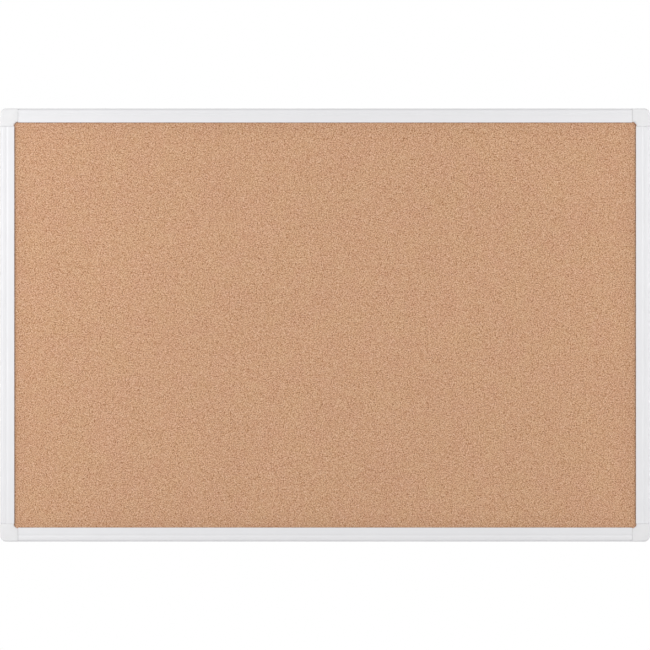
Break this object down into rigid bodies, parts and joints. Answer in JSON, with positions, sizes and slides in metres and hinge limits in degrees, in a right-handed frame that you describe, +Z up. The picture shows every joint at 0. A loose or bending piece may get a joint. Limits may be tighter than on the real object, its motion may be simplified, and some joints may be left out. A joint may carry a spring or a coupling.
{
  "type": "cork notice board",
  "caption": "Rectangular cork notice board in a slim pale metal frame, fixed flat to a wall by screws hidden under pull-off plastic corner covers.",
  "frame": {"origin": "middle of the board's outline, on the wall plane that the corner pads rest on", "axes": "+X to the right along the board's width as seen from the front, +Y from the board into the wall, +Z up its height; the cork faces -Y"},
  "size_m": [0.9, 0.0181, 0.6],
  "materials": {
    "cork": "fine agglomerated cork, unsealed and matt",
    "softboard": "raw pressed fibre",
    "liner": "plain grey board",
    "rail": "pale satin lacquer",
    "bracket": "moulded, matt",
    "cover": "moulded, fine satin",
    "screw": "zinc plated"
  },
  "bodies": {
    "board": {"cork_sheet": "cork", "softboard_core": "softboard", "back_liner": "liner", "rail_top": "rail", "rail_bottom": "rail", "rail_left": "rail", "rail_right": "rail", "corner_bracket_top_left": "bracket", "corner_bracket_top_right": "bracket", "corner_bracket_bottom_left": "bracket", "corner_bracket_bottom_right": "bracket", "rail_screw_top_left": "screw", "rail_screw_top_right": "screw", "rail_screw_bottom_left": "screw", "rail_screw_bottom_right": "screw", "rail_screw_left_top": "screw", "rail_screw_left_bottom": "screw", "rail_screw_right_top": "screw", "rail_screw_right_bottom": "screw"},
    "cover_top_left": {"corner_cover_top_left": "cover"},
    "cover_top_right": {"corner_cover_top_right": "cover"},
    "cover_bottom_left": {"corner_cover_bottom_left": "cover"},
    "cover_bottom_right": {"corner_cover_bottom_right": "cover"}
  },
  "joints": [
    {"name": "cover_top_left_pull_off", "type": "slide", "parent": "board", "child": "cover_top_left", "axis": [0, -1, 0], "range_m": [0, 0.025]},
    {"name": "cover_top_right_pull_off", "type": "slide", "parent": "board", "child": "cover_top_right", "axis": [0, -1, 0], "range_m": [0, 0.025]},
    {"name": "cover_bottom_left_pull_off", "type": "slide", "parent": "board", "child": "cover_bottom_left", "axis": [0, -1, 0], "range_m": [0, 0.025]},
    {"name": "cover_bottom_right_pull_off", "type": "slide", "parent": "board", "child": "cover_bottom_right", "axis": [0, -1, 0], "range_m": [0, 0.025]}
  ]
}
